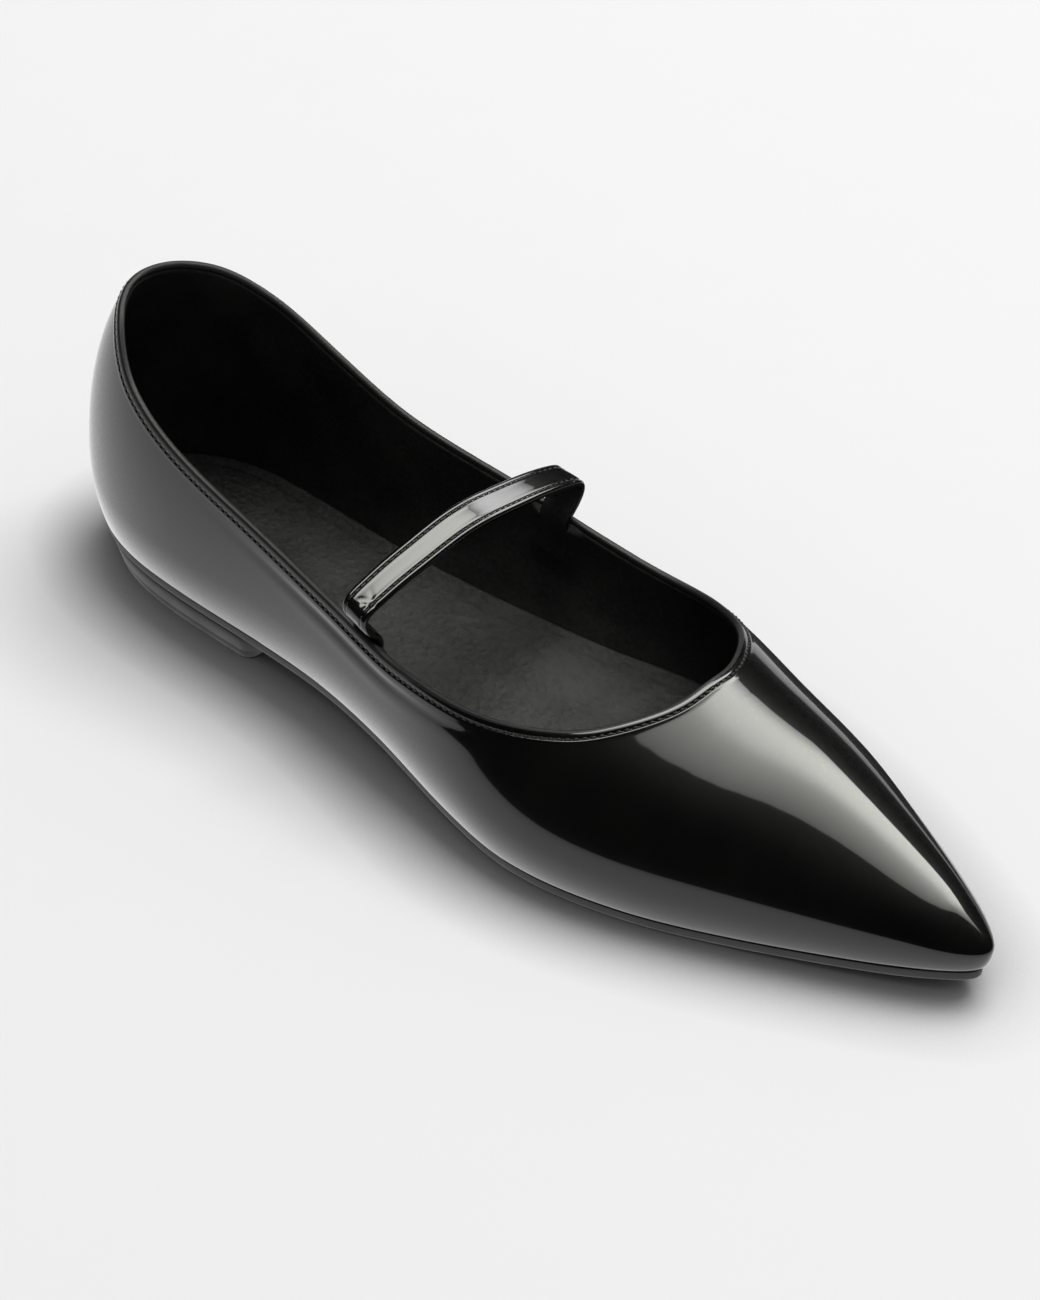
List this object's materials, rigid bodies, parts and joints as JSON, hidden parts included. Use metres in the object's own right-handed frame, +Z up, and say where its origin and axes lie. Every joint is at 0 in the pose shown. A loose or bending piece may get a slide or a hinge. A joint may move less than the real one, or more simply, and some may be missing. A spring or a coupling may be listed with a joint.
{
  "type": "pointed toe flat shoe",
  "caption": "Pointed toe flat shoe in high-shine black with a low collar, a rounded throat, a thin strap over the instep and a low block heel, standing empty on its sole.",
  "frame": {"origin": "on the floor, under the middle of the shoe's bounding box", "axes": "+X towards the toe, +Y towards the inner side of the right foot, +Z up"},
  "size_m": [0.2694, 0.0846, 0.074],
  "materials": {
    "upper": "high shine",
    "outsole": "matte",
    "heel": "matte",
    "insole": "matte, fine grain",
    "strap": "high shine"
  },
  "bodies": {
    "root": {"upper": "upper", "outsole": "outsole", "heel": "heel", "insole": "insole", "strap": "strap"}
  },
  "joints": []
}
